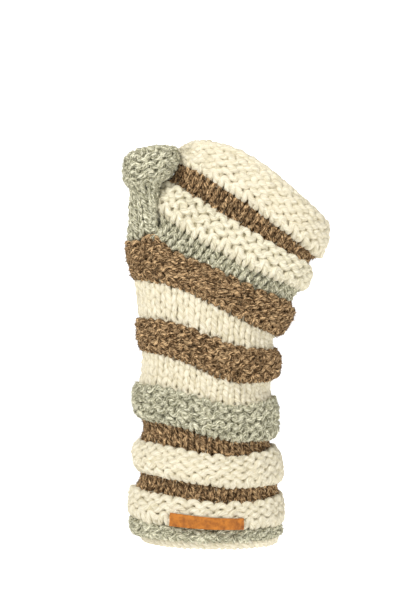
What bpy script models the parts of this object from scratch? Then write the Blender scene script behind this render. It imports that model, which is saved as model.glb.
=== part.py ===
"""Chunky knitted wrist warmer with a thumb tube, as it sits when worn, hand end up.

The garment is a hollow tube of wool. Purl stripes puff out as welts and plain knit stripes
lie back as valleys between them. Every stripe is a closed wall with an open middle, parted
from its neighbours by a seam gap. The thumb tube stands beside the hand tube on the widest
stripe. The origin is in the middle of the wrist, +Z runs up the forearm to the fingers, and
-Y is the front with the label. Sizes are in metres, and the tables are in millimetres.
"""
import math
from collections import namedtuple

import bmesh
import bpy
from mathutils import Vector

MM = 0.001

# Driving dimensions
WALL = 3.0 * MM
SEAM_GAP = 0.3 * MM
HAND_BASE_GAP = 0.8 * MM
THUMB_BASE_GAP = 0.8 * MM
POINTS_AROUND_ARM = 36
POINTS_AROUND_THUMB = 24

# A welt's section: a rounded outer face over a softer hollow inside
WELT_OUTER_STEPS = 6
WELT_INNER_STEPS = 4
WELT_FULLNESS = 0.7
WELT_HOLLOW_SHARE = 0.65

# A valley's section: nearly flat, drawn in a little halfway
VALLEY_STEPS = 2
VALLEY_SINK = 0.6 * MM

# The rim between the thumb and the hand rises to a point
CROTCH_RISE = 9.0 * MM
CROTCH_PLACE = 0.17
CROTCH_SPREAD = 0.085
# The hand tube starts flat on the side where the thumb tube stands
HAND_TUBE_FLAT_X = -34.6 * MM

# Leather label across the front, over the lower half of the lower cream welt
LABEL_LENGTH = 50.0 * MM
LABEL_THICKNESS = 1.5 * MM
LABEL_CENTRE_X = -0.5 * MM
LABEL_BOTTOM_SHARE = 0.02
LABEL_TOP_SHARE = 0.42
LABEL_STEPS = 12

# Rings are where one stripe meets the next, measured on the outer face, in millimetres.
# left is the thumb side. front_rise and back_rise bow the ring up or down between its ends,
# sway bends the front up on the left and down on the right, skew below 1 moves the bow to the
# left, forward shifts the ring towards the front, and squareness below 1 makes it boxy.
Ring = namedtuple(
    "Ring",
    "name left_x left_z right_x right_z depth front_rise back_rise sway skew forward squareness",
)
ARM_RINGS = [
    Ring("hem", -46.0, -140.2, 50.0, -141.2, 76, 0.0, 0.0, 0.0, 1.0, 0, 1.0),
    Ring("hem_edge_top", -47.6, -135.6, 51.1, -137.0, 79, 0.3, 0.0, 0.0, 1.0, 0, 1.0),
    Ring("hem_welt_top", -51.8, -121.1, 50.4, -127.6, 80, -1.6, -1.0, 0.0, 1.0, 0, 1.0),
    Ring("cuff_lower_top", -49.7, -100.8, 49.7, -104.3, 77, -3.5, -3.0, 1.8, 1.0, 0, 1.0),
    Ring("cuff_lower_valley_top", -46.2, -90.5, 49.7, -99.2, 74, -2.4, -2.0, 0.7, 1.0, 0, 1.0),
    Ring("cuff_upper_top", -46.2, -68.6, 44.1, -72.1, 70, -4.3, -2.0, 2.2, 1.0, 0, 1.0),
    Ring("cuff_upper_valley_top", -45.5, -54.6, 44.1, -69.3, 68, -2.1, -1.0, 2.0, 1.0, 0, 1.0),
    Ring("wrist_grey_top", -46.9, -28.0, 44.1, -36.4, 67, -4.9, -4.0, 3.9, 1.0, 0, 1.0),
    Ring("wrist_lower_valley_top", -45.5, -7.0, 45.5, -27.3, 66, -4.5, -2.0, 3.6, 1.0, 0, 1.0),
    Ring("wrist_brown_top", -48.3, 16.8, 45.5, -4.2, 64, 0.7, 0.0, 3.2, 1.0, 0, 1.0),
    Ring("wrist_upper_valley_top", -51.1, 42.7, 47.6, 2.8, 62, 5.0, 2.0, 1.8, 1.0, 0, 1.0),
    Ring("thumb_base_top", -56.7, 70.0, 59.5, 26.6, 60, 4.0, 3.0, 0.9, 1.0, 0, 0.95),
]
HAND_RINGS = [
    Ring("palm_grey_top", -32.9, 91.0, 65.1, 35.0, 55, -6.0, -4.0, 0.0, 1.0, 0, 0.9),
    Ring("palm_ecru_top", -24.5, 113.4, 70.7, 54.6, 51, -2.0, -3.0, 0.0, 1.0, 0, 0.95),
    Ring("knuckle_brown_top", -20.3, 126.0, 75.6, 57.4, 49, 2.0, 0.0, 0.0, 1.0, 0, 0.95),
    Ring("knuckle_cream_top", -19.3, 133.5, 80.5, 86.8, 48, 17.0, 14.5, 0.0, 0.75, 0, 0.95),
]
THUMB_RINGS = [
    Ring("thumb_base", -56.4, 70.0, -35.1, 78.5, 30, 0.0, 0.0, 0.0, 1.0, 0, 0.75),
    Ring("thumb_knit_top", -54.6, 106.5, -33.4, 110.5, 26, -2.0, 0.0, 0.0, 1.0, 5, 0.85),
    Ring("thumb_top", -53.0, 131.0, -22.4, 134.0, 29, 1.5, 1.0, 0.0, 1.0, 13, 0.95),
]

# Stripes from the hem up. puff is how far a welt stands out at either side, in millimetres,
# and a stripe with no puff is a valley.
Stripe = namedtuple("Stripe", "node yarn puff_left puff_right")
ARM_STRIPES = [
    Stripe("hem_cream_edge", "cream_wool", 0.0, 0.0),
    Stripe("hem_grey_welt", "grey_marl_wool", 5.6, 2.6),
    Stripe("cuff_cream_welt_lower", "cream_wool", 5.2, 4.6),
    Stripe("cuff_brown_valley_lower", "brown_heather_wool", 0.0, 0.0),
    Stripe("cuff_cream_welt_upper", "cream_wool", 7.0, 6.8),
    Stripe("cuff_brown_valley_upper", "brown_heather_wool", 0.0, 0.0),
    Stripe("wrist_grey_welt", "grey_marl_wool", 7.8, 7.8),
    Stripe("wrist_cream_valley_lower", "cream_wool", 0.0, 0.0),
    Stripe("wrist_brown_welt", "brown_heather_wool", 3.6, 7.8),
    Stripe("wrist_cream_valley_upper", "cream_wool", 0.0, 0.0),
    Stripe("thumb_base_brown_welt", "brown_heather_wool", 3.2, 7.2),
]
HAND_STRIPES = [
    Stripe("palm_grey_valley", "grey_marl_wool", 0.0, 0.0),
    Stripe("palm_ecru_welt", "ecru_wool", 3.4, 6.4),
    Stripe("knuckle_brown_valley", "brown_heather_wool", 0.0, 0.0),
    Stripe("knuckle_cream_welt", "cream_wool", 1.0, 8.2),
]
THUMB_STRIPES = [
    Stripe("thumb_grey_knit", "grey_marl_wool", 0.0, 0.0),
    Stripe("thumb_grey_welt", "grey_marl_wool", 5.6, 5.8),
]
LABEL_STRIPE = "cuff_cream_welt_lower"

# Finish: colour, roughness, metallic
Finish = namedtuple("Finish", "colour roughness metallic")
FINISHES = {
    "cream_wool": Finish((0.86, 0.80, 0.62), 0.95, 0.0),
    "ecru_wool": Finish((0.80, 0.73, 0.55), 0.95, 0.0),
    "grey_marl_wool": Finish((0.46, 0.44, 0.33), 0.95, 0.0),
    "brown_heather_wool": Finish((0.20, 0.14, 0.08), 0.95, 0.0),
    "tan_leather": Finish((0.55, 0.26, 0.07), 0.60, 0.0),
}


def mix(first, second, share):
    """Go from the first value to the second by a share from 0 to 1."""
    return first + (second - first) * share


def boxy(value, squareness):
    """Push a sine or cosine towards a box's corner when squareness is below 1."""
    return math.copysign(abs(value) ** squareness, value)


def share_across(ring, x):
    """How far a place lies across a ring: 0 at the thumb side, 1 at the other."""
    return min(1.0, max(0.0, (x - ring.left_x) / (ring.right_x - ring.left_x)))


def bow(ring, across, is_front):
    """Height that a ring gains or loses between its two ends."""
    if is_front:
        swayed = ring.sway * math.sin(2.0 * math.pi * across)
        return ring.front_rise * math.sin(math.pi * across ** ring.skew) + swayed
    return ring.back_rise * math.sin(math.pi * across ** ring.skew)


def ring_points(ring, count):
    """Points of one ring, from the right end round the back, the left end and the front."""
    points = []
    for step in range(count):
        angle = 2.0 * math.pi * step / count
        across = 0.5 * (1.0 + boxy(math.cos(angle), ring.squareness))
        x = mix(ring.left_x, ring.right_x, across)
        y = 0.5 * ring.depth * boxy(math.sin(angle), ring.squareness) - ring.forward
        z = mix(ring.left_z, ring.right_z, across) + bow(ring, across, math.sin(angle) < 0.0)
        points.append(Vector((x, y, z)) * MM)
    return points


def raise_crotch(points, ring):
    """Lift a rim to its point between the thumb and the hand."""
    for point in points:
        away = (share_across(ring, point.x / MM) - CROTCH_PLACE) / CROTCH_SPREAD
        point.z += CROTCH_RISE * math.exp(-away * away)


def hand_base_points(rim):
    """The hand tube's first ring: the rim of the arm, cut flat where the thumb stands."""
    base = [point.copy() for point in rim]
    for point in base:
        point.x = max(point.x, HAND_TUBE_FLAT_X)
        point.z += HAND_BASE_GAP
    return base


def seat_on_rim(points, rim_ring):
    """Follow the rim's height with the thumb tube's first ring, just clear of it."""
    for point in points:
        across = share_across(rim_ring, point.x / MM)
        height = mix(rim_ring.left_z, rim_ring.right_z, across)
        height += bow(rim_ring, across, point.y < 0.0)
        point.z = height * MM + THUMB_BASE_GAP
    raise_crotch(points, rim_ring)


def outward_directions(rings):
    """Outward direction at each point of each ring, square to the cloth."""
    directions = []
    last = len(rings) - 1
    for level, points in enumerate(rings):
        below = rings[max(level - 1, 0)]
        above = rings[min(level + 1, last)]
        count = len(points)
        row = []
        for step in range(count):
            round_the_ring = points[(step + 1) % count] - points[step - 1]
            up_the_cloth = above[step] - below[step]
            row.append(round_the_ring.cross(up_the_cloth).normalized())
        directions.append(row)
    return directions


def welt_section(puff):
    """Closed section of a welt: share up the stripe and distance out from the cloth line."""
    section = []
    for step in range(WELT_OUTER_STEPS + 1):
        turn = math.pi * step / WELT_OUTER_STEPS
        share = 0.5 * (1.0 - math.cos(turn))
        section.append((share, puff * max(0.0, math.sin(turn)) ** WELT_FULLNESS))
    for step in range(WELT_INNER_STEPS, -1, -1):
        share = step / WELT_INNER_STEPS
        hollow = WELT_HOLLOW_SHARE * puff * math.sin(math.pi * share) ** 2
        section.append((share, hollow - WALL))
    return section


def valley_section():
    """Closed section of a valley: a wall drawn in a little halfway up the stripe."""
    rising = [step / VALLEY_STEPS for step in range(VALLEY_STEPS + 1)]
    outer = [(share, -VALLEY_SINK * math.sin(math.pi * share)) for share in rising]
    inner = [(share, sink - WALL) for share, sink in reversed(outer)]
    return outer + inner


def cloth_point(lower, upper, out_lower, out_upper, share, out):
    """A point of the wall: a share up from one ring to the next, and out from the cloth."""
    trim = 0.5 * SEAM_GAP / (upper - lower).length
    share = mix(trim, 1.0 - trim, share)
    outward = mix(out_lower, out_upper, share).normalized()
    return mix(lower, upper, share) + outward * out


def puff_at(stripe, angle):
    """A welt's puff at an angle round the tube."""
    across = 0.5 * (1.0 + math.cos(angle))
    return mix(stripe.puff_left, stripe.puff_right, across) * MM


def new_object(name, mesh_bm, finish_name, collection):
    """Make an object of a bmesh, with its own material, in the garment's collection."""
    bmesh.ops.recalc_face_normals(mesh_bm, faces=mesh_bm.faces)
    mesh = bpy.data.meshes.new(name)
    mesh_bm.to_mesh(mesh)
    mesh_bm.free()
    mesh.shade_smooth()
    finish = FINISHES[finish_name]
    material = bpy.data.materials.new(name + "_" + finish_name)
    material.use_nodes = True
    shader = material.node_tree.nodes["Principled BSDF"]
    shader.inputs["Base Color"].default_value = (*finish.colour, 1.0)
    shader.inputs["Roughness"].default_value = finish.roughness
    shader.inputs["Metallic"].default_value = finish.metallic
    mesh.materials.append(material)
    item = bpy.data.objects.new(name, mesh)
    collection.objects.link(item)
    return item


def closed_wall(rows):
    """Skin a closed loop of section points carried all round the tube."""
    wall = bmesh.new()
    grid = [[wall.verts.new(point) for point in row] for row in rows]
    around = len(grid)
    section = len(grid[0])
    for step in range(around):
        here = grid[step]
        there = grid[(step + 1) % around]
        for place in range(section):
            after = (place + 1) % section
            wall.faces.new((here[place], there[place], there[after], here[after]))
    return wall


def make_stripe(stripe, lower, upper, out_lower, out_upper, collection):
    """Build one stripe of the knitting between two rings."""
    rows = []
    count = len(lower)
    for step in range(count):
        puff = puff_at(stripe, 2.0 * math.pi * step / count)
        section = welt_section(puff) if puff > 0.0 else valley_section()
        ends = (lower[step], upper[step], out_lower[step], out_upper[step])
        rows.append([cloth_point(*ends, share, out) for share, out in section])
    return new_object(stripe.node, closed_wall(rows), stripe.yarn, collection)


def share_directions(directions, base, rim, rim_directions):
    """Where a tube's first ring stands on a rim, turn it outwards just as the rim does."""
    for step, point in enumerate(base):
        if point.x == rim[step].x:
            directions[0][step] = rim_directions[step]


def make_tube(stripes, rings, directions, collection):
    """Build the stripes of one tube from the bottom up."""
    for level, stripe in enumerate(stripes):
        lower, upper = rings[level], rings[level + 1]
        make_stripe(stripe, lower, upper, directions[level], directions[level + 1], collection)


def make_label(rings, directions, collection):
    """Build the leather strip that stands on the crest of its welt, across the front."""
    level = [stripe.node for stripe in ARM_STRIPES].index(LABEL_STRIPE)
    lower_ring = ARM_RINGS[level]
    welt = ARM_STRIPES[level]
    half_width = 0.5 * (lower_ring.right_x - lower_ring.left_x) * MM
    half_width += 0.5 * (welt.puff_left + welt.puff_right) * MM
    middle_x = 0.5 * (lower_ring.right_x + lower_ring.left_x) * MM
    count = POINTS_AROUND_ARM

    def between(points, angle):
        """Read a ring between two of its points."""
        place = angle / (2.0 * math.pi) * count
        step = math.floor(place)
        return mix(points[step % count], points[(step + 1) % count], place - step)

    rows = []
    for step in range(LABEL_STEPS + 1):
        x = LABEL_CENTRE_X + LABEL_LENGTH * (step / LABEL_STEPS - 0.5)
        angle = 2.0 * math.pi - math.acos((x - middle_x) / half_width)
        sources = (rings[level], rings[level + 1], directions[level], directions[level + 1])
        ends = [between(source, angle) for source in sources]
        back = puff_at(welt, angle) + SEAM_GAP
        face = back + LABEL_THICKNESS
        corners = (
            (LABEL_BOTTOM_SHARE, back),
            (LABEL_BOTTOM_SHARE, face),
            (LABEL_TOP_SHARE, face),
            (LABEL_TOP_SHARE, back),
        )
        rows.append([cloth_point(*ends, share, out) for share, out in corners])
    strip = bmesh.new()
    grid = [[strip.verts.new(point) for point in row] for row in rows]
    for here, there in zip(grid, grid[1:]):
        for place in range(len(here)):
            after = (place + 1) % len(here)
            strip.faces.new((here[place], there[place], there[after], here[after]))
    strip.faces.new(grid[0])
    strip.faces.new(reversed(grid[-1]))
    return new_object("label_leather", strip, "tan_leather", collection)


def clear_scene():
    """Remove whatever the scene holds."""
    for item in list(bpy.data.objects):
        bpy.data.objects.remove(item, do_unlink=True)


def main():
    """Build the wrist warmer."""
    clear_scene()
    collection = bpy.data.collections.new("knitted_wrist_warmer")
    bpy.context.scene.collection.children.link(collection)

    arm = [ring_points(ring, POINTS_AROUND_ARM) for ring in ARM_RINGS]
    raise_crotch(arm[-1], ARM_RINGS[-1])
    hand = [ring_points(ring, POINTS_AROUND_ARM) for ring in HAND_RINGS]
    hand.insert(0, hand_base_points(arm[-1]))
    thumb = [ring_points(ring, POINTS_AROUND_THUMB) for ring in THUMB_RINGS]
    seat_on_rim(thumb[0], ARM_RINGS[-1])

    arm_out, hand_out, thumb_out = (outward_directions(tube) for tube in (arm, hand, thumb))
    share_directions(hand_out, hand[0], arm[-1], arm_out[-1])

    make_tube(ARM_STRIPES, arm, arm_out, collection)
    make_tube(HAND_STRIPES, hand, hand_out, collection)
    make_tube(THUMB_STRIPES, thumb, thumb_out, collection)
    make_label(arm, arm_out, collection)


main()
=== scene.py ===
"""Looks of a chunky hand-knitted wrist warmer, hand end up, as it sits when worn.

Every stripe is knitted here from real yarn: one closed course after another, each a string of
loops that catch those of the course below, laid on the curved cloth of its stripe. Purl courses
show the heads and feet of their loops and knit courses show the legs. Behind them lies a thin
cloth that closes the gaps, coloured dark with painted shade for the gaps between loops, and
short wool fibres stand out of the yarn.
"""
import logging
import math
from dataclasses import dataclass
from enum import Enum

import bpy
import numpy as np
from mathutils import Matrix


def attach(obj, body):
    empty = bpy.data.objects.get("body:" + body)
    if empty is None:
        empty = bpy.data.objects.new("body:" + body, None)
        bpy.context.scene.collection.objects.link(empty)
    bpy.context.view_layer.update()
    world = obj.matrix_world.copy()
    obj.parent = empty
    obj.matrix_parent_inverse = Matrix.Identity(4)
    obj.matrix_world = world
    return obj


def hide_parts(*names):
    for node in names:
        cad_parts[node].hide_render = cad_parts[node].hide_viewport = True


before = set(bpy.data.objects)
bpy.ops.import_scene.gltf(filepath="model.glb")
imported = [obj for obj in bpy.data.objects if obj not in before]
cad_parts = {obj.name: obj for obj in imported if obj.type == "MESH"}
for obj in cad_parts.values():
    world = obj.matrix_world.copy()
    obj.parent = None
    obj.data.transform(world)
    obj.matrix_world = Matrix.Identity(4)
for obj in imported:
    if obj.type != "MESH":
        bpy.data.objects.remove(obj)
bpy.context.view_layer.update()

BODY = "root"
MM = 0.001
TURN = 2.0 * math.pi
# The yarn's UV map counts its length in this unit
UV_UNIT_MM = 10.0
LOG = logging.getLogger("wrist_warmer")

Array = np.ndarray


class Stitch(Enum):
    """Which side of the loops faces out, as the sign of the loop's depth."""

    KNIT = -1.0
    PURL = 1.0


def linear(hex_colour: str) -> tuple[float, float, float, float]:
    """Turn an sRGB hex colour to linear.

    Args:
        hex_colour: Colour as "#rrggbb".

    Returns:
        Linear red, green, blue and an alpha of 1.
    """
    channels = [int(hex_colour[place:place + 2], 16) / 255.0 for place in (1, 3, 5)]
    done = [c / 12.92 if c <= 0.04045 else ((c + 0.055) / 1.055) ** 2.4 for c in channels]
    return (*done, 1.0)


def feed(tree: bpy.types.NodeTree, node: bpy.types.Node, links: dict) -> None:
    """Give a node's inputs their values.

    Args:
        tree: Node tree that the node is in.
        node: The node.
        links: Input values or output sockets, by input name or index.
    """
    for name, value in links.items():
        if isinstance(value, bpy.types.NodeSocket):
            tree.links.new(value, node.inputs[name])
        else:
            node.inputs[name].default_value = value


def add_node(tree: bpy.types.NodeTree, kind: str, settings: dict | None = None,
             links: dict | None = None) -> bpy.types.Node:
    """Add a node with its settings and what goes into it.

    Args:
        tree: Node tree that gets the node.
        kind: Blender's name for the node's type.
        settings: Node properties by name.
        links: Input values or output sockets, by input name or index.

    Returns:
        The new node.
    """
    node = tree.nodes.new(kind)
    for name, value in (settings or {}).items():
        setattr(node, name, value)
    feed(tree, node, links or {})
    return node


def new_material(name: str) -> tuple[bpy.types.Material, bpy.types.NodeTree, bpy.types.Node]:
    """Make a material with an empty Principled shader.

    Args:
        name: Name of the material.

    Returns:
        The material, its node tree and its shader node.
    """
    material = bpy.data.materials.new(name)
    material.use_nodes = True
    tree = material.node_tree
    return material, tree, tree.nodes["Principled BSDF"]


def mottle(tree: bpy.types.NodeTree, shader: bpy.types.Node, size_mm: float,
           colours: dict[float, str], detail: float, roughness: float = 0.5) -> bpy.types.Node:
    """Colour a surface in soft random patches that stay where they are on it.

    Args:
        tree: Material's node tree.
        shader: Its shader node.
        size_mm: Size of a patch.
        colours: Colours as "#rrggbb", by the value of the noise, from low to high.
        detail: Layers of finer noise in the patches.
        roughness: How strong the finer layers are.

    Returns:
        The noise node.
    """
    place = add_node(tree, "ShaderNodeTexCoord")
    noise = add_node(tree, "ShaderNodeTexNoise", links={
        "Vector": place.outputs["Object"], "Scale": 1.0 / (size_mm * MM), "Detail": detail,
        "Roughness": roughness})
    ramp = add_node(tree, "ShaderNodeValToRGB", links={0: noise.outputs[0]})
    stops, values = ramp.color_ramp.elements, list(colours)
    stops[0].position, stops[1].position = values[0], values[-1]
    for value in values[1:-1]:
        stops.new(value)
    for stop, colour in zip(stops, colours.values()):
        stop.color = linear(colour)
    feed(tree, shader, {"Base Color": ramp.outputs[0]})
    return noise


@dataclass(frozen=True)
class Wool:
    """One colour of chunky, loosely spun two-ply wool.

    The plies show as soft slanting grooves along the yarn, single dyed fibres show as flecks,
    and the loose surface scatters light like a nap, so it never shines.
    """

    slot: str
    dark: str
    middle: str
    light: str
    # Colour of the cloth behind the loops, far darker than the wool: painted shade for the gaps
    # between loops
    painted_shade_backing: str
    # How far the flecks run along the yarn, and how far from its middle tone dark and light lie
    fleck_length_mm: float
    fleck_dark_share: float
    fleck_light_share: float
    # Tone of the darkest and lightest locks of fibre, as shares of the colour. The sunken locks
    # get the dark end and the raised ones the light end: partly the wool's own uneven tone,
    # partly painted shade and painted light on the locks' relief
    lock_dark: float
    lock_light: float
    # Loose fibres that stand out of each square millimetre of yarn, and the nap's soft glow
    hairs: float
    sheen: float
    # Half the thickness of the yarn as it lies in the knitting
    radius_mm: float

    # Both plies turn once round each other in this length, and the groove between is this deep
    PLY_TURN_MM = 14.0
    PLY_DEPTH_MM = 0.35
    # Single fibres are 0.03 mm thick and don't show, but the locks that they lie in do
    LOCK_WIDTH_MM = 0.7
    LOCK_LENGTH_MM = 2.6
    # Radius of yarn on which the locks are as wide as that
    LOCK_RADIUS_MM = 1.8
    # How far the locks stand up, as a share of the plies
    LOCK_RELIEF = 1.2
    # Flecks across the yarn, from its middle to its side
    FLECKS_ACROSS = 1.6

    def helix(self, tree: bpy.types.NodeTree, length_mm: float, width: float) -> dict:
        """Coordinates that run along the yarn and wind round it with its twist.

        Args:
            tree: Material's node tree.
            length_mm: Length along the yarn that counts as one unit.
            width: Units across the yarn, from its middle to its side.

        Returns:
            The combined vector and the winding angle, as sockets.
        """
        place = add_node(tree, "ShaderNodeUVMap", {"uv_map": "yarn"})
        parts = add_node(tree, "ShaderNodeSeparateXYZ", links={0: place.outputs[0]})
        twist = add_node(tree, "ShaderNodeMath", {"operation": "MULTIPLY"},
                         {0: parts.outputs[0], 1: UV_UNIT_MM / self.PLY_TURN_MM})
        wound = add_node(tree, "ShaderNodeMath", {"operation": "ADD"},
                         {0: parts.outputs[1], 1: twist.outputs[0]})
        angle = add_node(tree, "ShaderNodeMath", {"operation": "MULTIPLY"},
                         {0: wound.outputs[0], 1: TURN})
        along = add_node(tree, "ShaderNodeMath", {"operation": "MULTIPLY"},
                         {0: parts.outputs[0], 1: UV_UNIT_MM / length_mm})
        sides = []
        for operation in ("COSINE", "SINE"):
            turned = add_node(tree, "ShaderNodeMath", {"operation": operation},
                              {0: angle.outputs[0]})
            sides.append(add_node(tree, "ShaderNodeMath", {"operation": "MULTIPLY"},
                                  {0: turned.outputs[0], 1: width}))
        vector = add_node(tree, "ShaderNodeCombineXYZ",
                          links={0: along.outputs[0], 1: sides[0].outputs[0],
                                 2: sides[1].outputs[0]})
        return {"vector": vector.outputs[0], "angle": angle.outputs[0]}

    def shade(self, tree: bpy.types.NodeTree, shader: bpy.types.Node) -> None:
        """Set what is the same all over the wool on the shader itself."""
        feed(tree, shader, {
            "Roughness": 0.95, "IOR": 1.54, "Specular IOR Level": 0.15,
            "Sheen Weight": self.sheen, "Sheen Roughness": 0.6,
            "Sheen Tint": linear(self.light)})

    def yarn(self) -> bpy.types.Material:
        """Make the material of the yarn, which follows its own UV map.

        Returns:
            The material, with grooved plies, locks of fibre whose tone is partly painted shade
            and painted light, and flecks.
        """
        material, tree, shader = new_material(f"{self.slot}_two_ply_yarn")
        flecks = self.helix(tree, self.fleck_length_mm, self.FLECKS_ACROSS)
        fleck = add_node(tree, "ShaderNodeTexNoise", links={
            "Vector": flecks["vector"], "Scale": 1.0, "Detail": 3.0, "Roughness": 0.65})
        ramp = add_node(tree, "ShaderNodeValToRGB", links={0: fleck.outputs[0]})
        stops = ramp.color_ramp.elements
        stops[0].position = 0.5 - self.fleck_dark_share
        stops[0].color = linear(self.dark)
        stops[1].position = 0.5 + self.fleck_light_share
        stops[1].color = linear(self.light)
        stops.new(0.5).color = linear(self.middle)
        fibres = self.helix(tree, self.LOCK_LENGTH_MM, self.LOCK_RADIUS_MM / self.LOCK_WIDTH_MM)
        fibre = add_node(tree, "ShaderNodeTexNoise", links={
            "Vector": fibres["vector"], "Scale": 1.0, "Detail": 2.0, "Roughness": 0.6})
        # The locks' tone follows the same noise as their bump height: painted shade on the sunken
        # locks and painted light on the raised ones, on top of the wool's own uneven tone
        lock_tone_and_shade = add_node(tree, "ShaderNodeMapRange", links={
            "Value": fibre.outputs[0], "From Min": 0.3, "From Max": 0.7,
            "To Min": self.lock_dark, "To Max": self.lock_light})
        tone = add_node(tree, "ShaderNodeMix", {"data_type": "RGBA", "blend_type": "MULTIPLY"},
                        {0: 1.0, 6: ramp.outputs[0], 7: lock_tone_and_shade.outputs[0]})
        groove = add_node(tree, "ShaderNodeMath", {"operation": "SINE"}, {0: fibres["angle"]})
        ply = add_node(tree, "ShaderNodeMath", {"operation": "ABSOLUTE"}, {0: groove.outputs[0]})
        height = add_node(tree, "ShaderNodeMath", {"operation": "MULTIPLY_ADD"},
                          {0: fibre.outputs[0], 1: self.LOCK_RELIEF, 2: ply.outputs[0]})
        bump = add_node(tree, "ShaderNodeBump", links={
            "Height": height.outputs[0], "Distance": self.PLY_DEPTH_MM * MM, "Strength": 0.8})
        feed(tree, shader, {"Base Color": tone.outputs[2], "Normal": bump.outputs[0]})
        self.shade(tree, shader)
        return material

    def cloth(self) -> bpy.types.Material:
        """Make the material of the cloth behind the loops: painted shade, where their shade lies.

        Returns:
            The material, dark with painted shade, and matted.
        """
        material, tree, shader = new_material(f"{self.slot}_painted_shade_cloth")
        # Painted shade: mottled between the dark colour behind the loops and the wool's middle
        # tone, to darken the gaps
        noise = mottle(tree, shader, 1.5, {0.35: self.painted_shade_backing, 0.7: self.middle}, detail=3.0)
        bump = add_node(tree, "ShaderNodeBump", links={
            "Height": noise.outputs[0], "Distance": 0.4 * MM, "Strength": 0.8})
        feed(tree, shader, {"Normal": bump.outputs[0]})
        self.shade(tree, shader)
        return material

    def fuzz(self) -> bpy.types.Material:
        """Make the material of the single fibres that stand out of the yarn.

        Returns:
            The material, which changes from one fibre to the next.
        """
        material, tree, shader = new_material(f"{self.slot}_loose_fibres")
        tones = {0.35: self.dark, 0.45: self.middle, 0.6: self.light}
        mottle(tree, shader, 0.9, tones, detail=0.0)
        self.shade(tree, shader)
        return material


# The fifth colour of each wool, for the cloth behind its loops, is painted shade, far darker than
# the wool itself
CREAM = Wool(
    "cream_wool", dark="#c4ba99", middle="#dbd2b9", light="#e8e1cd", painted_shade_backing="#9a8e68",
    fleck_length_mm=9.0, fleck_dark_share=0.2, fleck_light_share=0.18,
    lock_dark=0.84, lock_light=1.06, hairs=0.05, sheen=0.2, radius_mm=2.15)
ECRU = Wool(
    "ecru_wool", dark="#c4bb9b", middle="#ddd5bb", light="#ebe5d0", painted_shade_backing="#9f9676",
    fleck_length_mm=6.0, fleck_dark_share=0.18, fleck_light_share=0.16,
    lock_dark=0.76, lock_light=1.1, hairs=0.06, sheen=0.2, radius_mm=2.05)
GREY = Wool(
    "grey_marl_wool", dark="#615f47", middle="#b6b297", light="#dbd7bf", painted_shade_backing="#4b4a36",
    fleck_length_mm=2.2, fleck_dark_share=0.11, fleck_light_share=0.1,
    lock_dark=0.42, lock_light=1.45, hairs=0.22, sheen=0.2, radius_mm=1.62)
BROWN = Wool(
    "brown_heather_wool", dark="#33230f", middle="#71573b", light="#b0946e", painted_shade_backing="#33240d",
    fleck_length_mm=2.2, fleck_dark_share=0.075, fleck_light_share=0.085,
    lock_dark=0.24, lock_light=2.15, hairs=0.27, sheen=0.12, radius_mm=1.65)


@dataclass(frozen=True)
class Leather:
    """Plain vegetable-tanned cowhide, cut to a strip.

    The tan took unevenly, which shows as soft dark patches, and the fine pebble grain under the
    wax gives it a dull, broken shine.
    """

    slot: str = "tan_leather"
    light: str = "#b66f22"
    dark: str = "#783f10"
    grain_mm: float = 0.9
    grain_depth_mm: float = 0.3
    patch_mm: float = 3.5

    def material(self) -> bpy.types.Material:
        """Make the material of the strip.

        Returns:
            The material, mottled tan with a shallow grain.
        """
        material, tree, shader = new_material("vegetable_tanned_leather")
        mottle(tree, shader, self.patch_mm, {0.3: self.dark, 0.6: self.light}, detail=6.0,
               roughness=0.65)
        place = add_node(tree, "ShaderNodeTexCoord")
        grain = add_node(tree, "ShaderNodeTexVoronoi", {"feature": "DISTANCE_TO_EDGE"}, {
            "Vector": place.outputs["Object"], "Scale": 1.0 / (self.grain_mm * MM)})
        bump = add_node(tree, "ShaderNodeBump", links={
            "Height": grain.outputs[0], "Distance": self.grain_depth_mm * MM, "Strength": 0.7})
        feed(tree, shader, {"Normal": bump.outputs[0], "Roughness": 0.6, "IOR": 1.5,
                            "Specular IOR Level": 0.3})
        return material


@dataclass(frozen=True)
class Ring:
    """Where one stripe meets the next, on the outer face, in millimetres.

    left is the thumb side. The rises bow the ring between its ends, sway bends the front up on
    the left and down on the right, skew below 1 moves the bow to the left, forward shifts the
    ring to the front, and squareness below 1 makes it boxy.
    """

    left_x: float
    left_z: float
    right_x: float
    right_z: float
    depth: float
    front_rise: float
    back_rise: float
    sway: float = 0.0
    skew: float = 1.0
    forward: float = 0.0
    squareness: float = 1.0

    def across(self, x: Array) -> Array:
        """How far places lie across the ring: 0 at the thumb side, 1 at the other."""
        return np.clip((x - self.left_x) / (self.right_x - self.left_x), 0.0, 1.0)

    def height(self, across: Array, front: Array) -> Array:
        """Height of the ring, in millimetres.

        Args:
            across: Places across the ring, from 0 to 1.
            front: Whether each place is on the front.

        Returns:
            Height of each place.
        """
        rise = np.where(front, self.front_rise, self.back_rise)
        bow = rise * np.sin(math.pi * across ** self.skew)
        swayed = np.where(front, self.sway, 0.0) * np.sin(TURN * across)
        return self.left_z + (self.right_z - self.left_z) * across + bow + swayed

    def points(self, count: int) -> Array:
        """Points of the ring, from the right end round the back, in millimetres.

        Args:
            count: Number of points.

        Returns:
            Points, one a row.
        """
        angle = TURN * np.arange(count) / count
        sides = np.stack([np.cos(angle), np.sin(angle)])
        cosine, sine = np.sign(sides) * np.abs(sides) ** self.squareness
        across = 0.5 * (1.0 + cosine)
        x = self.left_x + (self.right_x - self.left_x) * across
        y = 0.5 * self.depth * sine - self.forward
        z = self.height(across, sine < 0.0)
        return np.stack([x, y, z], axis=1)


@dataclass(frozen=True)
class Stripe:
    """One stripe of the knitting: its node, wool, stitch, courses and how far it puffs, in mm."""

    node: str
    wool: Wool
    stitch: Stitch
    courses: int
    puff_left: float = 0.0
    puff_right: float = 0.0
    cast_off: bool = False


# Points round each ring before they are spaced evenly
RING_POINTS = 720
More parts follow.
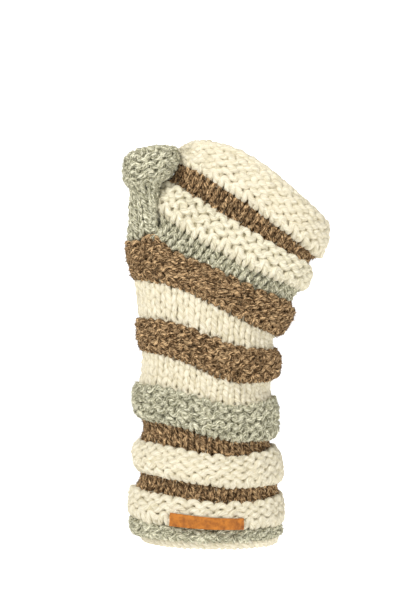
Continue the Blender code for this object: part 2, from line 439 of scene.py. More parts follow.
# The arm's rim rises to a point between the thumb and the hand: how far in millimetres, and
# where and how wide as shares of its width
CROTCH_RISE = 9.0
CROTCH_PLACE = 0.17
CROTCH_SPREAD = 0.085
# The tubes part on flat sides that press together, so the thumb's reaches past the hand's
HAND_TUBE_FLAT_X = -36.0
THUMB_TUBE_FLAT_X = -34.0

# Each row: left x and z, right x and z, depth, front rise, back rise, and the front's sway
ARM_RINGS = [
    Ring(-46.0, -140.2, 50.0, -141.2, 76, 0.0, 0.0),
    Ring(-47.6, -135.6, 51.1, -137.0, 79, 0.3, 0.0),
    Ring(-51.8, -121.1, 50.4, -127.6, 80, -1.6, -1.0),
    Ring(-49.7, -100.8, 49.7, -104.3, 77, -3.5, -3.0, 1.8),
    Ring(-46.2, -90.5, 49.7, -99.2, 74, -2.4, -2.0, 0.7),
    Ring(-46.2, -68.6, 44.1, -72.1, 70, -4.3, -2.0, 2.2),
    Ring(-45.5, -54.6, 44.1, -69.3, 68, -2.1, -1.0, 2.0),
    Ring(-46.9, -28.0, 44.1, -36.4, 67, -4.9, -4.0, 3.9),
    Ring(-45.5, -7.0, 45.5, -27.3, 66, -4.5, -2.0, 3.6),
    Ring(-48.3, 16.8, 45.5, -4.2, 64, 0.7, 0.0, 3.2),
    Ring(-51.1, 42.7, 47.6, 2.8, 62, 5.0, 2.0, 1.8),
    Ring(-56.7, 70.0, 59.5, 26.6, 60, 4.0, 3.0, 0.9, squareness=0.95),
]
HAND_RINGS = [
    Ring(-37.5, 91.0, 65.1, 35.0, 56, -6.0, -4.0, squareness=0.9),
    Ring(-26.0, 113.4, 70.7, 54.6, 51, -2.0, -3.0, squareness=0.95),
    Ring(-20.3, 126.0, 75.6, 57.4, 49, 2.0, 0.0, squareness=0.95),
    Ring(-19.3, 133.5, 80.5, 86.8, 48, 17.0, 14.5, skew=0.75, squareness=0.95),
]
THUMB_RINGS = [
    Ring(-54.6, 106.5, -30.6, 110.5, 28, -2.0, 0.0, forward=5, squareness=0.72),
    Ring(-53.0, 131.0, -20.8, 134.0, 29, 1.5, 1.0, forward=12, squareness=0.95),
]
# Each row: node, wool, stitch, courses, and the puff at the left and at the right
ARM_STRIPES = [
    Stripe("hem_cream_edge", CREAM, Stitch.PURL, 1),
    Stripe("hem_grey_welt", GREY, Stitch.PURL, 3, 5.6, 2.6),
    Stripe("cuff_cream_welt_lower", CREAM, Stitch.PURL, 4, 5.2, 4.6),
    Stripe("cuff_brown_valley_lower", BROWN, Stitch.KNIT, 3),
    Stripe("cuff_cream_welt_upper", CREAM, Stitch.PURL, 5, 7.0, 6.8),
    Stripe("cuff_brown_valley_upper", BROWN, Stitch.KNIT, 3),
    Stripe("wrist_grey_welt", GREY, Stitch.PURL, 5, 7.8, 7.8),
    Stripe("wrist_cream_valley_lower", CREAM, Stitch.KNIT, 4),
    Stripe("wrist_brown_welt", BROWN, Stitch.PURL, 5, 3.6, 7.8),
    Stripe("wrist_cream_valley_upper", CREAM, Stitch.KNIT, 4),
    Stripe("thumb_base_brown_welt", BROWN, Stitch.PURL, 5, 3.2, 7.2),
]
HAND_STRIPES = [
    Stripe("palm_grey_valley", GREY, Stitch.KNIT, 3),
    Stripe("palm_ecru_welt", ECRU, Stitch.PURL, 4, 5.0, 6.4),
    Stripe("knuckle_brown_valley", BROWN, Stitch.KNIT, 3),
    Stripe("knuckle_cream_welt", CREAM, Stitch.PURL, 5, 1.0, 8.2, cast_off=True),
]
THUMB_STRIPES = [
    Stripe("thumb_grey_knit", GREY, Stitch.KNIT, 7),
    Stripe("thumb_grey_welt", GREY, Stitch.PURL, 5, 5.6, 6.6, cast_off=True),
]


def length_of(vectors: Array) -> Array:
    """Lengths of vectors along the last axis, which is kept."""
    return np.linalg.norm(vectors, axis=-1, keepdims=True)


def evenly_round(points: Array, count: int) -> Array:
    """Space a closed ring's points evenly along it.

    Args:
        points: Points of the ring, one a row.
        count: Number of points to return.

    Returns:
        Evenly spaced points that start where the ring did.
    """
    closed = np.vstack([points, points[:1]])
    run = np.concatenate([[0.0], np.cumsum(length_of(np.diff(closed, axis=0))[:, 0])])
    wanted = np.linspace(0.0, run[-1], count, endpoint=False)
    return np.stack([np.interp(wanted, run, closed[:, axis]) for axis in range(3)], axis=1)


@dataclass
class Cloth:
    """The curved cloth of one tube, read by stitches around and courses up.

    Its rings are in millimetres from the bottom up, one more than its stripes.
    """

    rings: list[Array]
    stripes: list[Stripe]
    stitches: int
    # The yarn's middle lies this far inside the outer face, in millimetres
    inset: float = 3.2
    # Purl stripes reach this far into the knit ones beside them, in millimetres
    purl_reach: float = 2.0
    # Below 1 a welt is fuller than half an ellipse, and a valley sinks by this many millimetres
    welt_fullness: float = 0.7
    valley_sink: float = 0.6
    columns_a_stitch: int = 8
    samples_a_stripe: int = 32
    samples_a_course: int = 8
    margin_courses: int = 1

    def __post_init__(self) -> None:
        """Lay out the cloth's points and which way it faces."""
        self.columns = self.stitches * self.columns_a_stitch
        rings = [evenly_round(ring, self.columns) for ring in self.rings]
        outward = self.outward(rings)
        lines = []
        for level, stripe in enumerate(self.stripes):
            line = self.stripe_lines(rings[level:level + 2], outward[level:level + 2], stripe)
            lines.append(line if level == 0 else line[:, 1:])
        outer = self.softened(np.concatenate(lines, axis=1))
        middle = self.softened(outer - self.normals(outer) * self.inset)
        self.grid = self.softened(self.with_margins(self.by_courses(middle)))
        self.facing = self.normals(self.grid)

    @staticmethod
    def normals(grid: Array) -> Array:
        """Find which way a tube of points faces.

        Args:
            grid: Points by column and row.

        Returns:
            Outward normals, one a point.
        """
        around = np.roll(grid, -1, axis=0) - np.roll(grid, 1, axis=0)
        facing = np.cross(around, np.gradient(grid, axis=1))
        return facing / length_of(facing)

    @staticmethod
    def outward(rings: list[Array]) -> list[Array]:
        """Find the outward direction at each point of each ring.

        Args:
            rings: Rings from the bottom up.

        Returns:
            Unit vectors, one array a ring.
        """
        directions = []
        for level, ring in enumerate(rings):
            below = rings[max(level - 1, 0)]
            above = rings[min(level + 1, len(rings) - 1)]
            around = np.roll(ring, -1, axis=0) - np.roll(ring, 1, axis=0)
            facing = np.cross(around, above - below)
            directions.append(facing / length_of(facing))
        return directions

    def stripe_lines(self, ends: list[Array], outward: list[Array], stripe: Stripe) -> Array:
        """Lines up the outer face of one stripe.

        Args:
            ends: The stripe's lower and upper rings.
            outward: Outward directions at both rings.
            stripe: The stripe.

        Returns:
            Points by column and sample up the stripe.
        """
        turn = np.linspace(0.0, math.pi, self.samples_a_stripe + 1)
        x = 0.5 * (ends[0][:, 0] + ends[1][:, 0])
        across = (x - x.min()) / (x.max() - x.min())
        puff = stripe.puff_left + (stripe.puff_right - stripe.puff_left) * across
        if stripe.puff_right > 0.0:
            share = 0.5 * (1.0 - np.cos(turn))
            bulge = puff[:, None] * np.maximum(0.0, np.sin(turn)) ** self.welt_fullness
        else:
            share = turn / math.pi
            bulge = np.tile(-self.valley_sink * np.sin(turn), (len(x), 1))
        share = share[None, :, None]
        line = ends[0][:, None] * (1.0 - share) + ends[1][:, None] * share
        facing = outward[0][:, None] * (1.0 - share) + outward[1][:, None] * share
        return line + facing / length_of(facing) * bulge[:, :, None]

    def by_courses(self, middle: Array) -> Array:
        """Space each stripe's points by its courses, evenly along the cloth.

        Args:
            middle: Points by column and sample, with the same count in each stripe.

        Returns:
            Points by column and sample, with the same count in each course.
        """
        run = np.cumsum(length_of(np.diff(middle, axis=1))[:, :, 0], axis=1)
        run = np.concatenate([np.zeros((len(middle), 1)), run], axis=1)
        edges = run[:, ::self.samples_a_stripe].copy()
        for level in range(1, len(self.stripes)):
            below, above = self.stripes[level - 1].stitch, self.stripes[level].stitch
            edges[:, level] += 0.5 * (below.value - above.value) * self.purl_reach
        even = []
        for column, line in enumerate(middle):
            wanted = [edges[column, :1]]
            for level, stripe in enumerate(self.stripes):
                count = stripe.courses * self.samples_a_course + 1
                wanted.append(np.linspace(*edges[column, level:level + 2], count)[1:])
            wanted = np.concatenate(wanted)
            even.append([np.interp(wanted, run[column], line[:, axis]) for axis in range(3)])
        return np.array(even).transpose(0, 2, 1)

    def with_margins(self, grid: Array) -> Array:
        """Carry the cloth on past both edges, where loops reach over them.

        Args:
            grid: Points by column and row.

        Returns:
            The points with as many rows more at each edge as the margin has.
        """
        count = self.margin_courses * self.samples_a_course
        low = 2.0 * grid[:, :1] - grid[:, count:0:-1]
        high = 2.0 * grid[:, -1:] - grid[:, -2:-2 - count:-1]
        return np.concatenate([low, grid, high], axis=1)

    @staticmethod
    def softened(grid: Array, passes: int = 3) -> Array:
        """Round the creases where one stripe meets the next.

        Args:
            grid: Points by column and row.
            passes: How often each point moves towards the two beside it.

        Returns:
            The softened points, with both edges left where they are.
        """
        for _ in range(passes):
            inner = 0.25 * grid[:, :-2] + 0.5 * grid[:, 1:-1] + 0.25 * grid[:, 2:]
            grid = np.concatenate([grid[:, :1], inner, grid[:, -1:]], axis=1)
        return grid

    def at(self, stitch: Array, course: Array, out: Array) -> tuple[Array, Array]:
        """Places on the cloth.

        Args:
            stitch: Stitches around, from the right end.
            course: Courses up, from the tube's lower edge.
            out: Distance out from the yarn's middle, in millimetres.

        Returns:
            Points in metres, and the directions that the cloth faces there.
        """
        column = np.mod(stitch * self.columns_a_stitch, self.columns)
        row = (course + self.margin_courses) * self.samples_a_course
        # Just short of the last row, which has none above it to blend with
        row = np.clip(row, 0.0, self.grid.shape[1] - 1.001)
        left, low = np.floor(column).astype(int), np.floor(row).astype(int)
        east, north = (column - left)[..., None], (row - low)[..., None]
        left, right = left % self.columns, (left + 1) % self.columns
        found = []
        for table in (self.grid, self.facing):
            below = table[left, low] * (1.0 - east) + table[right, low] * east
            above = table[left, low + 1] * (1.0 - east) + table[right, low + 1] * east
            found.append(below * (1.0 - north) + above * north)
        facing = found[1] / length_of(found[1])
        return (found[0] + facing * np.asarray(out)[..., None]) * MM, facing

    def first_course(self, level: int) -> int:
        """Course at which a stripe starts, or past the last stripe, where the tube ends."""
        return sum(stripe.courses for stripe in self.stripes[:level])


def new_object(name: str, data: bpy.types.ID) -> bpy.types.Object:
    """Make an object and put it in the scene.

    Args:
        name: Name of the object.
        data: Its mesh, light or camera.

    Returns:
        The object.
    """
    item = bpy.data.objects.new(name, data)
    bpy.context.scene.collection.objects.link(item)
    return item


def mesh_object(name: str, points: Array, edges: Array | None = None,
                faces: Array | None = None) -> bpy.types.Object:
    """Make an object of points, edges and faces.

    Args:
        name: Name of the object.
        points: Points in metres, one a row.
        edges: Pairs of point numbers.
        faces: Fours of point numbers.

    Returns:
        The object, in the scene.
    """
    mesh = bpy.data.meshes.new(name)
    mesh.from_pydata(
        points.tolist(),
        [] if edges is None else edges.tolist(),
        [] if faces is None else faces.tolist(),
    )
    return new_object(name, mesh)


def dress(item: bpy.types.Object) -> bpy.types.Object:
    """Let a finished piece ride on the body.

    Args:
        item: The piece.

    Returns:
        The same piece.
    """
    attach(item, BODY)
    LOG.info("%s: %d faces", item.name, len(item.data.polygons))
    return item


class Tree:
    """A Geometry Nodes tree with named inputs, run once on an object."""

    NAME = ""
    # Kind of each input besides the geometry, by its name
    INPUTS: dict[str, str] = {}

    def __init__(self) -> None:
        """Make the tree's group with its sockets and nodes."""
        self.group = bpy.data.node_groups.new(self.NAME, "GeometryNodeTree")
        face = self.group.interface
        face.new_socket("Geometry", in_out="INPUT", socket_type="NodeSocketGeometry")
        face.new_socket("Geometry", in_out="OUTPUT", socket_type="NodeSocketGeometry")
        self.identifiers = {}
        for name, kind in self.INPUTS.items():
            socket = face.new_socket(name, in_out="INPUT", socket_type=f"NodeSocket{kind}")
            self.identifiers[name] = socket.identifier
        self.source = self.group.nodes.new("NodeGroupInput")
        self.build()

    def add(self, kind: str, settings: dict | None = None,
            links: dict | None = None) -> bpy.types.Node:
        """Add a node to this tree."""
        return add_node(self.group, kind, settings, links)

    def build(self) -> None:
        """Add the tree's nodes. Each tree has its own."""
        raise NotImplementedError

    def finish(self, geometry: bpy.types.NodeSocket) -> None:
        """End the tree: realize the instances, shade smooth and set the material.

        Args:
            geometry: What the tree has made.
        """
        real = self.add("GeometryNodeRealizeInstances", links={"Geometry": geometry})
        smooth = self.add("GeometryNodeSetShadeSmooth", links={"Geometry": real.outputs[0]})
        dressed = self.add("GeometryNodeSetMaterial", links={
            "Geometry": smooth.outputs[0], "Material": self.source.outputs["Material"]})
        self.add("NodeGroupOutput", links={0: dressed.outputs[0]})

    def run(self, item: bpy.types.Object, values: dict) -> bpy.types.Object:
        """Run the tree on an object and keep the result as its plain mesh.

        Args:
            item: Object that gives the tree its geometry.
            values: Input values by name.

        Returns:
            The same object, with the result as its mesh and no modifier.
        """
        modifier = item.modifiers.new(self.NAME, "NODES")
        modifier.node_group = self.group
        for name, value in values.items():
            modifier[self.identifiers[name]] = value
        graph = bpy.context.evaluated_depsgraph_get()
        mesh = bpy.data.meshes.new_from_object(item.evaluated_get(graph), depsgraph=graph)
        item.modifiers.remove(modifier)
        source, item.data = item.data, mesh
        mesh.name = item.name
        bpy.data.meshes.remove(source)
        return item


class YarnTree(Tree):
    """Turns paths into yarn: a round section carried along them, a little uneven."""

    NAME = "yarn_along_paths"
    INPUTS = {
        "Yarn Radius": "Float", "Sides": "Int", "Unevenness Scale": "Float",
        "Thinnest": "Float", "Thickest": "Float", "Ruffle": "Float", "Ruffle Scale": "Float",
        "Material": "Material"}

    def build(self) -> None:
        """Add the nodes that carry the section along the paths."""
        source = self.source.outputs
        curve = self.add("GeometryNodeMeshToCurve", links={"Mesh": source["Geometry"]})
        place = self.add("GeometryNodeSplineParameter")
        path = self.add("GeometryNodeStoreNamedAttribute", {"data_type": "FLOAT"}, {
            "Geometry": curve.outputs[0], "Name": "along", "Value": place.outputs["Length"]})
        circle = self.add("GeometryNodeCurvePrimitiveCircle", links={
            "Resolution": source["Sides"], "Radius": source["Yarn Radius"]})
        round_place = self.add("GeometryNodeSplineParameter")
        section = self.add("GeometryNodeStoreNamedAttribute", {"data_type": "FLOAT"}, {
            "Geometry": circle.outputs[0], "Name": "around",
            "Value": round_place.outputs["Factor"]})
        noise = self.add("ShaderNodeTexNoise", links={
            "Scale": source["Unevenness Scale"], "Detail": 2.0})
        swell = self.add("ShaderNodeMapRange", {"clamp": False}, {
            "Value": noise.outputs[0], "From Min": 0.3, "From Max": 0.7,
            "To Min": source["Thinnest"], "To Max": source["Thickest"]})
        yarn = self.add("GeometryNodeCurveToMesh", links={
            "Curve": path.outputs[0], "Profile Curve": section.outputs[0],
            "Scale": swell.outputs[0]})
        lumps = self.add("ShaderNodeTexNoise", links={
            "Scale": source["Ruffle Scale"], "Detail": 1.0})
        facing = self.add("GeometryNodeInputNormal")
        push = self.add("ShaderNodeMapRange", {"clamp": False}, {
            "Value": lumps.outputs[0], "From Min": 0.35, "From Max": 0.65,
            "To Min": 0.0, "To Max": source["Ruffle"]})
        offset = self.add("ShaderNodeVectorMath", {"operation": "SCALE"}, {
            0: facing.outputs[0], "Scale": push.outputs[0]})
        ruffled = self.add("GeometryNodeSetPosition", links={
            "Geometry": yarn.outputs[0], "Offset": offset.outputs[0]})
        self.finish(ruffled.outputs[0])


class FibreTree(Tree):
    """Stands short bent fibres on the outer side of yarn, turned and leaned at random."""

    NAME = "fibres_on_points"
    INPUTS = {
        "Fibre Length": "Float", "Fibre Radius": "Float", "Lean": "Float", "Density": "Float",
        "Seed": "Int", "Material": "Material"}
    # A fibre's tip bends aside and droops by these shares of its length
    BEND = (0.0, 0.7, -0.3)
    # Fibres stand where the yarn turns outward at least this much, as a cosine
    LEAST_OUTWARD = 0.2
    # The shortest and longest, as shares of the fibre's length
    SHORTEST = 0.45
    LONGEST = 1.2

    def build(self) -> None:
        """Add the nodes that make a fibre and plant it."""
        source = self.source.outputs
        spike = self.add("GeometryNodeMeshCone", {"fill_type": "NGON"}, {
            "Vertices": 3, "Side Segments": 2, "Fill Segments": 1, "Radius Top": 0.0,
            "Radius Bottom": source["Fibre Radius"], "Depth": source["Fibre Length"]})
        place = self.add("GeometryNodeInputPosition")
        parts = self.add("ShaderNodeSeparateXYZ", links={0: place.outputs[0]})
        square = self.add("ShaderNodeMath", {"operation": "MULTIPLY"}, {
            0: parts.outputs[2], 1: parts.outputs[2]})
        bent = self.add("ShaderNodeMath", {"operation": "DIVIDE"}, {
            0: square.outputs[0], 1: source["Fibre Length"]})
        aside = self.add("ShaderNodeVectorMath", {"operation": "SCALE"}, {
            0: self.BEND, "Scale": bent.outputs[0]})
        fibre = self.add("GeometryNodeSetPosition", links={
            "Geometry": spike.outputs[0], "Offset": aside.outputs[0]})
        facing = self.add("GeometryNodeInputNormal")
        outward = self.add("GeometryNodeInputNamedAttribute", {"data_type": "FLOAT_VECTOR"},
                           {"Name": "outward"})
        turn = self.add("ShaderNodeVectorMath", {"operation": "DOT_PRODUCT"}, {
            0: facing.outputs[0], 1: outward.outputs[0]})
        outside = self.add("FunctionNodeCompare", {"operation": "GREATER_THAN"}, {
            0: turn.outputs["Value"], 1: self.LEAST_OUTWARD})
        points = self.add("GeometryNodeDistributePointsOnFaces", links={
            "Mesh": source["Geometry"], "Selection": outside.outputs[0],
            "Density": source["Density"], "Seed": source["Seed"]})
        spread = self.add("ShaderNodeCombineXYZ", links={
            "X": source["Lean"], "Y": source["Lean"], "Z": TURN})
        back = self.add("ShaderNodeVectorMath", {"operation": "SCALE"}, {
            0: spread.outputs[0], "Scale": -1.0})
        random = self.add("FunctionNodeRandomValue", {"data_type": "FLOAT_VECTOR"}, {
            0: back.outputs[0], 1: spread.outputs[0], "Seed": source["Seed"]})
        lean = self.add("FunctionNodeEulerToRotation", links={0: random.outputs[0]})
        turned = self.add("FunctionNodeRotateRotation", {"rotation_space": "LOCAL"}, {
            "Rotation": points.outputs["Rotation"], "Rotate By": lean.outputs[0]})
        scale = self.add("FunctionNodeRandomValue", {"data_type": "FLOAT"}, {
            2: self.SHORTEST, 3: self.LONGEST, "Seed": source["Seed"]})
        placed = self.add("GeometryNodeInstanceOnPoints", links={
            "Points": points.outputs["Points"], "Instance": fibre.outputs[0],
            "Rotation": turned.outputs[0], "Scale": scale.outputs[1]})
        self.finish(placed.outputs[0])


@dataclass
class Knitting:
    """Knits the stripes of a tube on its cloth."""

    cloth: Cloth
    yarn_tree: YarnTree
    fibre_tree: FibreTree
    seed: int
    # The loose surface stands up by this much, in places of this size, in millimetres
    ruffle: float = 0.5
    ruffle_size: float = 2.2
    # The yarn swells and thins between these shares of its radius, this often in a metre
    thinnest: float = 0.88
    thickest: float = 1.1
    swells_a_metre: float = 140.0
    # How far the strands of a cast edge wind up and down, and where the cast-on lies, in courses
    edge_twist: float = 0.2
    cast_on_height: float = 0.45
    # Purl stripes draw together at their ends and knit stripes spread, in courses
    purl_gather: float = 0.1
    knit_spread: float = 0.1
    # A loop's reach up and down in courses, its sideways swing in stitches, its depth in mm
    loop_reach: float = 0.8
    loop_swing: float = 0.19
    purl_depth: float = 0.9
    knit_depth: float = 1.4
    # A knit stripe is pulled flat, so its yarn lies thinner than a purl stripe's
    knit_slimness: float = 0.93
    # The first course of a purl stripe is knit and pulled tight
    first_swing: float = 0.05
    steps_a_stitch: int = 16
    sides: int = 7
    # Hand knitting is uneven: how far loops stray in stitches, in courses and in millimetres,
    # and how often in a stitch
    stray_stitch: float = 0.05
    stray_course: float = 0.07
    stray_depth: float = 0.3
    strays_a_stitch: int = 2
    # Loose fibres, in millimetres, and how far they lean in radians
    fibre_length: float = 3.4
    fibre_radius: float = 0.2
    fibre_lean: float = 1.1
    # The cloth behind the loops, in millimetres, and its cells in each stitch and course
    backing_thickness: float = 1.2
    backing_depth: float = 1.3
    backing_cells: int = 2

    def stray(self, rng: np.random.Generator, size: float) -> Array:
        """A smooth random offset round one course.

        Args:
            rng: Random numbers.
            size: Standard deviation from stitch to stitch.

        Returns:
            One offset a step of the course.
        """
        knots = rng.normal(0.0, size, self.cloth.stitches * self.strays_a_stitch)
        steps = np.arange(self.cloth.stitches * self.steps_a_stitch)
        places = steps * self.strays_a_stitch / self.steps_a_stitch
        low = np.floor(places).astype(int)
        share = 0.5 - 0.5 * np.cos(math.pi * (places - low))
        after = (low + 1) % len(knots)
        return knots[low] * (1.0 - share) + knots[after] * share

    def heights(self, stripe: Stripe, first: int) -> Array:
        """Heights of a stripe's courses on the cloth.

        Args:
            stripe: The stripe.
            first: Course at which it starts.

        Returns:
            One height a course, in courses.
        """
        margin = 0.5 + self.gather(stripe)
        return np.linspace(first + margin, first + stripe.courses - margin, stripe.courses)

    def gather(self, stripe: Stripe) -> float:
        """How far a stripe's ends draw in, in courses."""
        return self.purl_gather if stripe.stitch is Stitch.PURL else -self.knit_spread

    def stitches_up(self) -> list[Stitch]:
        """List the stitch of each course from the bottom up.

        Each stripe starts with a knit course, so that the old colour's loops stay behind. The
        last course has none above it, and its heads stay on its own side.

        Returns:
            One stitch a course, with the last one twice.
        """
        kinds = []
        for stripe in self.cloth.stripes:
            kinds += [Stitch.KNIT] + [stripe.stitch] * (stripe.courses - 1)
        return kinds + kinds[-1:]

    def depth(self, stitch: Stitch) -> float:
        """How far out a loop's feet or head lie, in millimetres."""
        return stitch.value * (self.purl_depth if stitch is Stitch.PURL else self.knit_depth)

    def course(self, rng: np.random.Generator, middle: float, reach: float,
               feet: Stitch, heads: Stitch) -> tuple[Array, Array]:
        """Path of one course of loops.

        A loop's feet lie in front in purl and behind in knit, and its legs the other way round.
        Its head lies where the next course, which is pulled through it, leaves it.

        Args:
            rng: Random numbers.
            middle: Height of the course on the cloth, in courses.
            reach: How far the loops reach up and down from there, in courses.
            feet: Stitch of the course itself.
            heads: Stitch of the next course.

        Returns:
            Points of the closed path in metres, and the directions that the cloth faces there.
        """
        count = self.cloth.stitches * self.steps_a_stitch
        step = np.arange(count) / self.steps_a_stitch
        phase = TURN * step
        swing = self.first_swing if heads is not feet else self.loop_swing
        around = step + swing * np.sin(2.0 * phase) + self.stray(rng, self.stray_stitch)
        up = middle - reach * np.cos(phase) + self.stray(rng, self.stray_course)
        out = self.depth(feet) * np.cos(2.0 * phase)
        if heads is not feet:
            out = np.where(np.cos(phase) < 0.0, self.depth(heads), out)
        out = out + self.stray(rng, self.stray_depth)
        return self.cloth.at(around, up, out)

    def edge_strands(self, edge: float) -> list[tuple[Array, Array]]:
        """Paths of the two strands that twist along a cast edge.

        Args:
            edge: Height of the edge on the cloth, in courses.

        Returns:
            Two closed paths, each with the directions that the cloth faces along it.
        """
        step = np.arange(self.cloth.stitches * self.steps_a_stitch) / self.steps_a_stitch
        strands = []
        for start in (0.0, 0.5):
            phase = TURN * (step + start)
            up = edge + self.edge_twist * np.cos(phase)
            strands.append(self.cloth.at(step, up, self.purl_depth * np.sin(phase)))
        return strands

    def paths(self, stripe: Stripe, first: int, seed: int) -> list[tuple[Array, Array]]:
        """Paths of the courses of one stripe.

        Args:
            stripe: The stripe. One of a single course is the cast-on edge.
            first: Course at which it starts.
            seed: Seed of its unevenness.

        Returns:
            Closed paths, each with the directions that the cloth faces along it.
        """
        if stripe.courses == 1:
            return self.edge_strands(first + self.cast_on_height)
        rng = np.random.default_rng(seed)
        kinds = self.stitches_up()[first:]
        heights = self.heights(stripe, first)
        reach = self.loop_reach * (heights[1] - heights[0])
        return [self.course(rng, height, reach, *kinds[number:number + 2])
                for number, height in enumerate(heights)]

    def yarn(self, name: str, paths: list[tuple[Array, Array]],
             stripe: Stripe) -> bpy.types.Object:
        """Spin paths into yarn with a UV map that runs along and round it.

        Args:
            name: Name of the piece.
            paths: Closed paths, each with the directions that the cloth faces along it.
            stripe: The stripe, which gives the wool and how flat its stitch pulls it.

        Returns:
            The yarn.
        """
        edges, start = [], 0
        for path, _ in paths:
            number = np.arange(len(path))
            edges.append(np.stack([number, (number + 1) % len(path)], axis=1) + start)
            start += len(path)
        points, facing = (np.concatenate(part) for part in zip(*paths))
        item = mesh_object(name, points, edges=np.concatenate(edges))
        outward = item.data.attributes.new("outward", "FLOAT_VECTOR", "POINT")
        outward.data.foreach_set("vector", facing.astype(np.float32).ravel())
        wool, slim = stripe.wool, stripe.stitch is Stitch.KNIT
        self.yarn_tree.run(item, {
            "Yarn Radius": wool.radius_mm * MM * (self.knit_slimness if slim else 1.0),
            "Sides": self.sides, "Unevenness Scale": self.swells_a_metre,
            "Thinnest": self.thinnest, "Thickest": self.thickest, "Ruffle": self.ruffle * MM,
            "Ruffle Scale": 1.0 / (self.ruffle_size * MM), "Material": wool.yarn()})
        self.unwrap(item.data)
        return item

    @staticmethod
    def unwrap(mesh: bpy.types.Mesh) -> None:
        """Write the yarn's UV map: units of length along it, and turns round it.

        Args:
            mesh: The yarn's mesh, with its attributes "along" and "around".
        """
        corners = np.empty(len(mesh.loops), dtype=np.int32)
        mesh.loops.foreach_get("vertex_index", corners)
        map_values = []
        for name, unit in (("along", UV_UNIT_MM * MM), ("around", 1.0)):
            values = np.empty(len(mesh.vertices), dtype=np.float32)
            mesh.attributes[name].data.foreach_get("value", values)
            faces = values[corners].reshape(-1, 4)
            # A closed path is a little longer than the run to its last point
            span = values.max() * 1.001 if name == "along" else 1.0
            crossing = faces.max(axis=1) - faces.min(axis=1) > 0.5 * span
            faces[crossing] += np.where(faces[crossing] < 0.5 * span, span, 0.0)
            map_values.append(faces.reshape(-1) / unit)
        layer = mesh.uv_layers.new(name="yarn")
        layer.data.foreach_set("uv", np.stack(map_values, axis=1).ravel())

    def painted_shade_backing(self, stripe: Stripe, start: float, end: float) -> bpy.types.Object:
        """Thin closed cloth behind the loops of one stripe, whose dark colour is painted shade.

        Args:
            stripe: The stripe.
            start: Course at which the cloth starts.
            end: Course at which it ends.

        Returns:
            The cloth.
        """
        columns = self.cloth.stitches * self.backing_cells
        rows = stripe.courses * self.backing_cells + 1
        around = np.arange(columns) / self.backing_cells
        up = np.linspace(start, end, rows)
        half = 0.5 * self.backing_thickness
        layers = []
        for out in (half - self.backing_depth, -half - self.backing_depth):
            grid = np.meshgrid(around, up, indexing="ij")
            layers.append(self.cloth.at(grid[0], grid[1], np.full(grid[0].shape, out))[0])
        points = np.concatenate([layer.reshape(-1, 3) for layer in layers])
        number = np.arange(2 * columns * rows).reshape(2, columns, rows)
        after = np.roll(number, -1, axis=1)
        outer = [number[0, :, :-1], after[0, :, :-1], after[0, :, 1:], number[0, :, 1:]]
        inner = [number[1, :, :-1], number[1, :, 1:], after[1, :, 1:], after[1, :, :-1]]
        low = [number[1, :, 0], after[1, :, 0], after[0, :, 0], number[0, :, 0]]
        high = [number[0, :, -1], after[0, :, -1], after[1, :, -1], number[1, :, -1]]
        faces = [np.stack([side.ravel() for side in part], axis=1)
                 for part in (outer, inner, low, high)]
        item = mesh_object(f"{stripe.node}_cloth", points, faces=np.concatenate(faces))
        item.data.shade_smooth()
        # Its dark material is painted shade for the gaps between the loops
        item.data.materials.append(stripe.wool.cloth())
        return item

    def fuzz(self, yarn: bpy.types.Object, stripe: Stripe, seed: int) -> bpy.types.Object:
        """Loose fibres on the outer side of one stripe's yarn.

        Args:
            yarn: The yarn.
            stripe: The stripe.
            seed: Seed of their random places.

        Returns:
            The fibres.
        """
        item = new_object(f"{stripe.node}_fuzz", yarn.data.copy())
        return self.fibre_tree.run(item, {
            "Fibre Length": self.fibre_length * MM, "Fibre Radius": self.fibre_radius * MM,
            "Lean": self.fibre_lean, "Density": stripe.wool.hairs / MM ** 2, "Seed": seed,
            "Material": stripe.wool.fuzz()})

    def knit(self) -> None:
        """Knit every stripe of the tube from the bottom up."""
        top = self.cloth.first_course(len(self.cloth.stripes))
        narrow, start = [], 0
        for level, stripe in enumerate(self.cloth.stripes):
            seed, first = self.seed + level, self.cloth.first_course(level)
            yarn = self.yarn(f"{stripe.node}_yarn", self.paths(stripe, first, seed), stripe)
            pieces = [yarn, self.fuzz(yarn, stripe, seed)]
            if stripe.cast_off:
                edge = self.edge_strands(top)
                pieces.append(self.yarn(f"{stripe.node}_cast_off", edge, stripe))
            for piece in pieces:
                dress(piece)
            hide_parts(stripe.node)
            if stripe.courses == 1:
                # The cast-on edge is two twisted strands, so it goes with the next stripe's cloth
                narrow = pieces
                continue
            end = first + stripe.courses
            inner = self.gather(stripe)
            low, high = max(0.0, start + inner), min(top, end - inner)
            cloth = dress(self.painted_shade_backing(stripe, low, high))
            narrow, start = [], end


@dataclass
class Label:
    """Leather strip sewn across the front over the lower half of a welt, its edges as cut."""

    node: str = "label_leather"
    leather: Leather = Leather()

    def build(self) -> None:
        """Dress a copy of the strip's solid, which has the strip's shape."""
        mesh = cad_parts[self.node].data.copy()
        mesh.name = f"{self.node}_strip"
        mesh.materials.clear()
        mesh.materials.append(self.leather.material())
        item = new_object(mesh.name, mesh)
        dress(item)
        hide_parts(self.node)


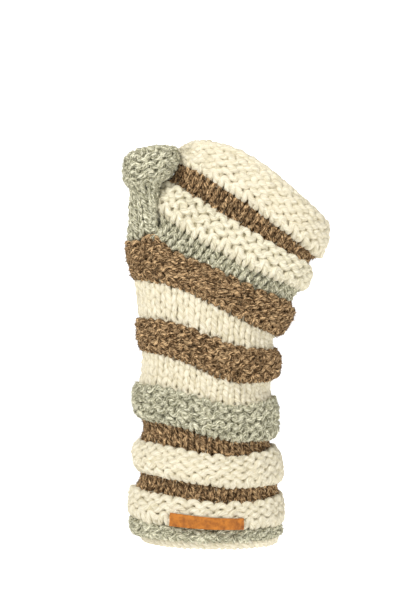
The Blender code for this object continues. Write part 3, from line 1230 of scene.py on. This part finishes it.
@dataclass
class Studio:
    """Plain pale sweep, soft light and the camera at the photograph's angle, in metres."""

    distance: float = 1.0
    frame_height: float = 0.42
    aim_x: float = -0.0049
    aim_z: float = 0.028
    floor_z: float = -0.20
    sensor_mm: float = 36.0
    sweep_front: float = -2.5
    sweep_back: float = 2.2
    sweep_side: float = 4.0
    sweep_top: float = 2.6
    sweep_radius: float = 0.6
    sweep_steps: int = 12

    def sweep(self) -> None:
        """Floor that turns up into a backdrop in one soft curve."""
        radius = self.sweep_radius
        profile = [(self.sweep_front, self.floor_z)]
        for step in range(self.sweep_steps + 1):
            angle = 0.5 * math.pi * step / self.sweep_steps
            profile.append((self.sweep_back - radius + radius * math.sin(angle),
                            self.floor_z + radius - radius * math.cos(angle)))
        profile.append((self.sweep_back, self.sweep_top))
        sides = (-self.sweep_side, self.sweep_side)
        points = [(x, y, z) for x in sides for y, z in profile]
        count = len(profile)
        faces = [(step, step + count, step + count + 1, step + 1) for step in range(count - 1)]
        item = mesh_object("studio_sweep", np.array(points), faces=np.array(faces))
        item.data.shade_smooth()
        material, tree, shader = new_material("white_paper_sweep")
        feed(tree, shader, {
            "Base Color": linear("#f8f8f8"), "Roughness": 0.9,
            "Emission Color": linear("#ffffff"), "Emission Strength": 0.6})
        item.data.materials.append(material)

    def light(self, name: str, place: tuple[float, float, float], size: float,
              power: float) -> None:
        """Add a square area light that faces the garment.

        Args:
            name: Name of the light.
            place: Position in metres.
            size: Side length in metres.
            power: Power in watts.
        """
        data = bpy.data.lights.new(name, "AREA")
        data.size = size
        data.energy = power
        item = new_object(name, data)
        item.location = place
        away = np.array(place) - np.array((self.aim_x, 0.0, self.aim_z))
        flat = math.hypot(away[0], away[1])
        item.rotation_euler = (math.atan2(flat, away[2]), 0.0, math.atan2(away[0], -away[1]))

    def build(self) -> None:
        """Set up the sweep, the lights, the world and the camera."""
        self.sweep()
        self.light("key_softbox", (-0.8, -1.1, 1.3), size=0.6, power=28.0)
        self.light("fill_softbox", (1.1, -1.2, 0.3), size=1.2, power=10.0)
        world = bpy.data.worlds.new("studio")
        world.use_nodes = True
        sky = world.node_tree.nodes["Background"]
        feed(world.node_tree, sky, {"Color": linear("#ffffff"), "Strength": 0.3})
        bpy.context.scene.world = world
        bpy.context.scene.view_settings.view_transform = "Standard"
        data = bpy.data.cameras.new("camera")
        data.sensor_width = self.sensor_mm
        data.lens = self.sensor_mm * self.distance / self.frame_height
        camera = new_object("camera", data)
        camera.location = (self.aim_x, -self.distance, self.aim_z)
        camera.rotation_euler = (0.5 * math.pi, 0.0, 0.0)
        bpy.context.scene.camera = camera


def crotch_lift(points: Array, ring: Ring) -> Array:
    """How far the rim rises to its point between the thumb and the hand."""
    away = (ring.across(points[:, 0]) - CROTCH_PLACE) / CROTCH_SPREAD
    return CROTCH_RISE * np.exp(-away * away)


def tube_rings() -> tuple[list[Array], list[Array], list[Array]]:
    """Rings of the arm, hand and thumb tubes, in millimetres.

    Returns:
        Three lists of rings, each from the bottom up.
    """
    arm = [ring.points(RING_POINTS) for ring in ARM_RINGS]
    arm[-1][:, 2] += crotch_lift(arm[-1], ARM_RINGS[-1])
    hand_base, thumb_base = arm[-1].copy(), arm[-1].copy()
    hand_base[:, 0] = np.maximum(hand_base[:, 0], HAND_TUBE_FLAT_X)
    outside = thumb_base[:, 0] < THUMB_TUBE_FLAT_X
    half = np.abs(thumb_base[outside, 1]).max()
    thumb_base[:, 1] = np.clip(thumb_base[:, 1], -half, half)
    side = thumb_base[outside][0, 2], thumb_base[outside][-1, 2]
    thumb_base[~outside, 2] = np.where(thumb_base[~outside, 1] < 0.0, side[1], side[0])
    thumb_base[:, 0] = np.minimum(thumb_base[:, 0], THUMB_TUBE_FLAT_X)
    hand = [hand_base] + [ring.points(RING_POINTS) for ring in HAND_RINGS]
    thumb = [thumb_base] + [ring.points(RING_POINTS) for ring in THUMB_RINGS]
    return arm, hand, thumb


def main() -> None:
    """Build the wrist warmer and its studio."""
    logging.basicConfig(level=logging.INFO, format="%(message)s")
    yarn_tree, fibre_tree = YarnTree(), FibreTree()
    arm, hand, thumb = tube_rings()
    Knitting(Cloth(arm, ARM_STRIPES, stitches=30), yarn_tree, fibre_tree, seed=11).knit()
    Knitting(Cloth(hand, HAND_STRIPES, stitches=29), yarn_tree, fibre_tree, seed=41).knit()
    Knitting(Cloth(thumb, THUMB_STRIPES, stitches=10), yarn_tree, fibre_tree, seed=71).knit()
    Label().build()
    Studio().build()


if __name__ == "__main__":
    main()
